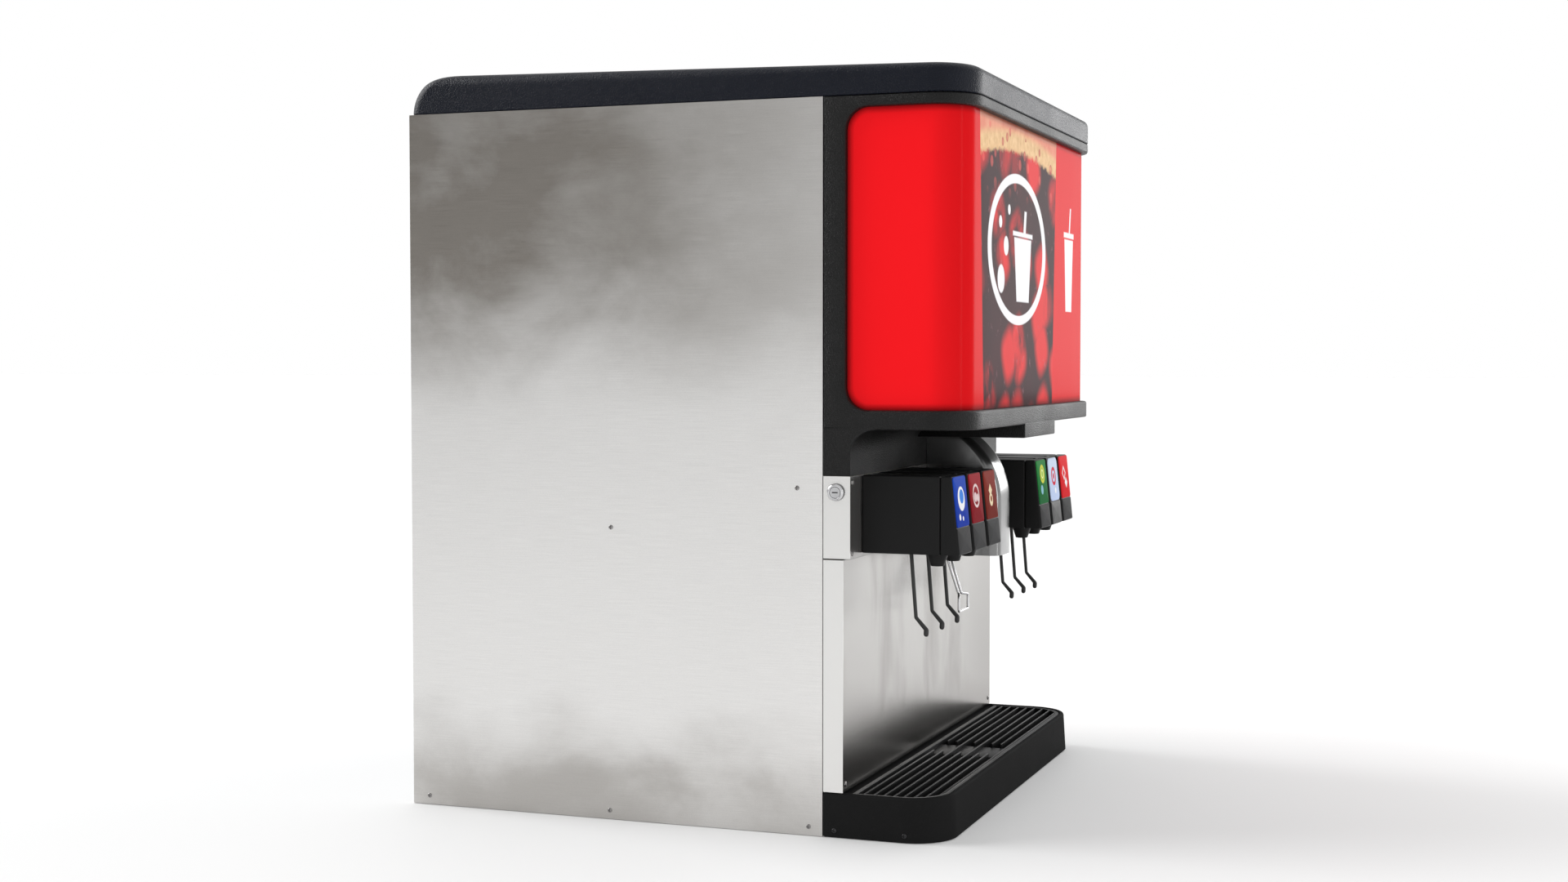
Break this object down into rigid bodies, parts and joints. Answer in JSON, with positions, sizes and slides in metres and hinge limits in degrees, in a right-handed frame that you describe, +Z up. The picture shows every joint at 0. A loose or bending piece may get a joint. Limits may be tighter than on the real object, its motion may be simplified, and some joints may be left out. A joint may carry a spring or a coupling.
{
  "type": "fountain soda dispenser",
  "caption": "Counter-top drink dispenser with an ice bin, a paddle-wheel ice feed and chute, lever-worked drink valves, a lit sign, a lock and a drip tray.",
  "frame": {"origin": "on the counter, at the middle of the cabinet's width and of the overall depth", "axes": "+Z up, -Y to the customer (front), -X to the customer's left, where the lock is"},
  "size_m": [0.6398, 0.673, 0.8485],
  "materials": {
    "stainless": "brushed, satin",
    "galvanised": "galvanised, dull",
    "aluminium": "as cast",
    "chrome": "polished",
    "lid_plastic": "fine leather grain",
    "bezel_plastic": "fine grain, satin",
    "cover_plastic": "satin",
    "tray_plastic": "satin",
    "lever_plastic": "satin",
    "sign_plastic": "gloss, printed on the back, lit from behind",
    "liner_plastic": "smooth, food grade",
    "foam": "cut foam",
    "wheel_plastic": "smooth",
    "white_paint": "matt",
    "motor_paint": "semi-matt",
    "lamp_glass": "white coated inside",
    "rubber": "matt"
  },
  "bodies": {
    "cabinet": {"side_panel_left": "stainless", "side_panel_right": "stainless", "valve_panel": "stainless", "splash_panel": "stainless", "soda_manifold": "stainless", "chute_cover": "stainless", "base_pan": "galvanised", "rear_panel": "galvanised", "bin_cradle": "galvanised", "control_box": "galvanised", "cold_plate": "aluminium", "lock_barrel": "chrome", "merchandiser_housing": "bezel_plastic", "power_inlet": "cover_plastic", "valve_body_1": "cover_plastic", "valve_body_2": "cover_plastic", "valve_body_3": "cover_plastic", "valve_body_4": "cover_plastic", "valve_body_5": "cover_plastic", "valve_body_6": "cover_plastic", "valve_cover_1": "cover_plastic", "valve_cover_2": "cover_plastic", "valve_cover_3": "cover_plastic", "valve_cover_4": "cover_plastic", "valve_cover_5": "cover_plastic", "valve_cover_6": "cover_plastic", "nozzle_1": "cover_plastic", "nozzle_2": "cover_plastic", "nozzle_3": "cover_plastic", "nozzle_4": "cover_plastic", "nozzle_5": "cover_plastic", "nozzle_6": "cover_plastic", "drip_tray": "tray_plastic", "sign_panel": "sign_plastic", "bin_liner": "liner_plastic", "ice_chute": "liner_plastic", "drain_spigot": "liner_plastic", "bin_insulation": "foam", "light_box_back": "white_paint", "lamp_ballast": "white_paint", "gear_motor": "motor_paint", "gate_solenoid": "motor_paint", "lamp_tube": "lamp_glass", "shaft_bushing": "rubber"},
    "lid": {"lid": "lid_plastic", "lid_gasket": "rubber"},
    "drip_grille": {"drip_grille": "tray_plastic"},
    "agitator": {"agitator_shaft": "stainless", "paddle_wheel": "wheel_plastic", "agitator_arm": "stainless"},
    "ice_gate": {"ice_gate": "stainless", "gate_plunger": "stainless"},
    "ice_lever": {"ice_lever": "chrome"},
    "lock_plug": {"lock_plug": "chrome"},
    "lever_1": {"lever_1": "lever_plastic"},
    "lever_2": {"lever_2": "lever_plastic"},
    "lever_3": {"lever_3": "lever_plastic"},
    "lever_4": {"lever_4": "lever_plastic"},
    "lever_5": {"lever_5": "lever_plastic"},
    "lever_6": {"lever_6": "lever_plastic"}
  },
  "joints": [
    {"name": "lid_lift", "type": "slide", "parent": "cabinet", "child": "lid", "axis": [0, 0, 1], "range_m": [0, 0.12]},
    {"name": "grille_lift", "type": "slide", "parent": "cabinet", "child": "drip_grille", "axis": [0, 0, 1], "range_m": [0, 0.06]},
    {"name": "agitator_turn", "type": "hinge", "parent": "cabinet", "child": "agitator", "pos_m": [-0.11, 0.0085, 0.482], "axis": [0, 1, 0], "continuous": true},
    {"name": "ice_lever_push", "type": "hinge", "parent": "cabinet", "child": "ice_lever", "pos_m": [0.0075, -0.212, 0.312], "axis": [1, 0, 0], "range_deg": [0, 12], "stiffness_Nm_per_rad": 0.3, "springref_deg": -5.73},
    {"name": "gate_rise", "type": "slide", "parent": "cabinet", "child": "ice_gate", "axis": [0, 0, 1], "range_m": [0, 0.04]},
    {"name": "key_turn", "type": "hinge", "parent": "cabinet", "child": "lock_plug", "pos_m": [-0.3195, -0.1869, 0.377], "axis": [1, 0, 0], "range_deg": [0, 90]},
    {"name": "valve_lever_1_push", "type": "hinge", "parent": "cabinet", "child": "lever_1", "pos_m": [-0.2515, -0.2518, 0.3225], "axis": [1, 0, 0], "range_deg": [0, 12], "stiffness_Nm_per_rad": 0.2, "springref_deg": -5.73},
    {"name": "valve_lever_2_push", "type": "hinge", "parent": "cabinet", "child": "lever_2", "pos_m": [-0.1875, -0.2518, 0.3225], "axis": [1, 0, 0], "range_deg": [0, 12], "stiffness_Nm_per_rad": 0.2, "springref_deg": -5.73},
    {"name": "valve_lever_3_push", "type": "hinge", "parent": "cabinet", "child": "lever_3", "pos_m": [-0.1235, -0.2518, 0.3225], "axis": [1, 0, 0], "range_deg": [0, 12], "stiffness_Nm_per_rad": 0.2, "springref_deg": -5.73},
    {"name": "valve_lever_4_push", "type": "hinge", "parent": "cabinet", "child": "lever_4", "pos_m": [0.1385, -0.2518, 0.3225], "axis": [1, 0, 0], "range_deg": [0, 12], "stiffness_Nm_per_rad": 0.2, "springref_deg": -5.73},
    {"name": "valve_lever_5_push", "type": "hinge", "parent": "cabinet", "child": "lever_5", "pos_m": [0.2025, -0.2518, 0.3225], "axis": [1, 0, 0], "range_deg": [0, 12], "stiffness_Nm_per_rad": 0.2, "springref_deg": -5.73},
    {"name": "valve_lever_6_push", "type": "hinge", "parent": "cabinet", "child": "lever_6", "pos_m": [0.2665, -0.2518, 0.3225], "axis": [1, 0, 0], "range_deg": [0, 12], "stiffness_Nm_per_rad": 0.2, "springref_deg": -5.73}
  ],
  "couplings": [
    {"joint": "ice_lever_push", "follows": "gate_rise", "rad_per_m": 5.23}
  ]
}
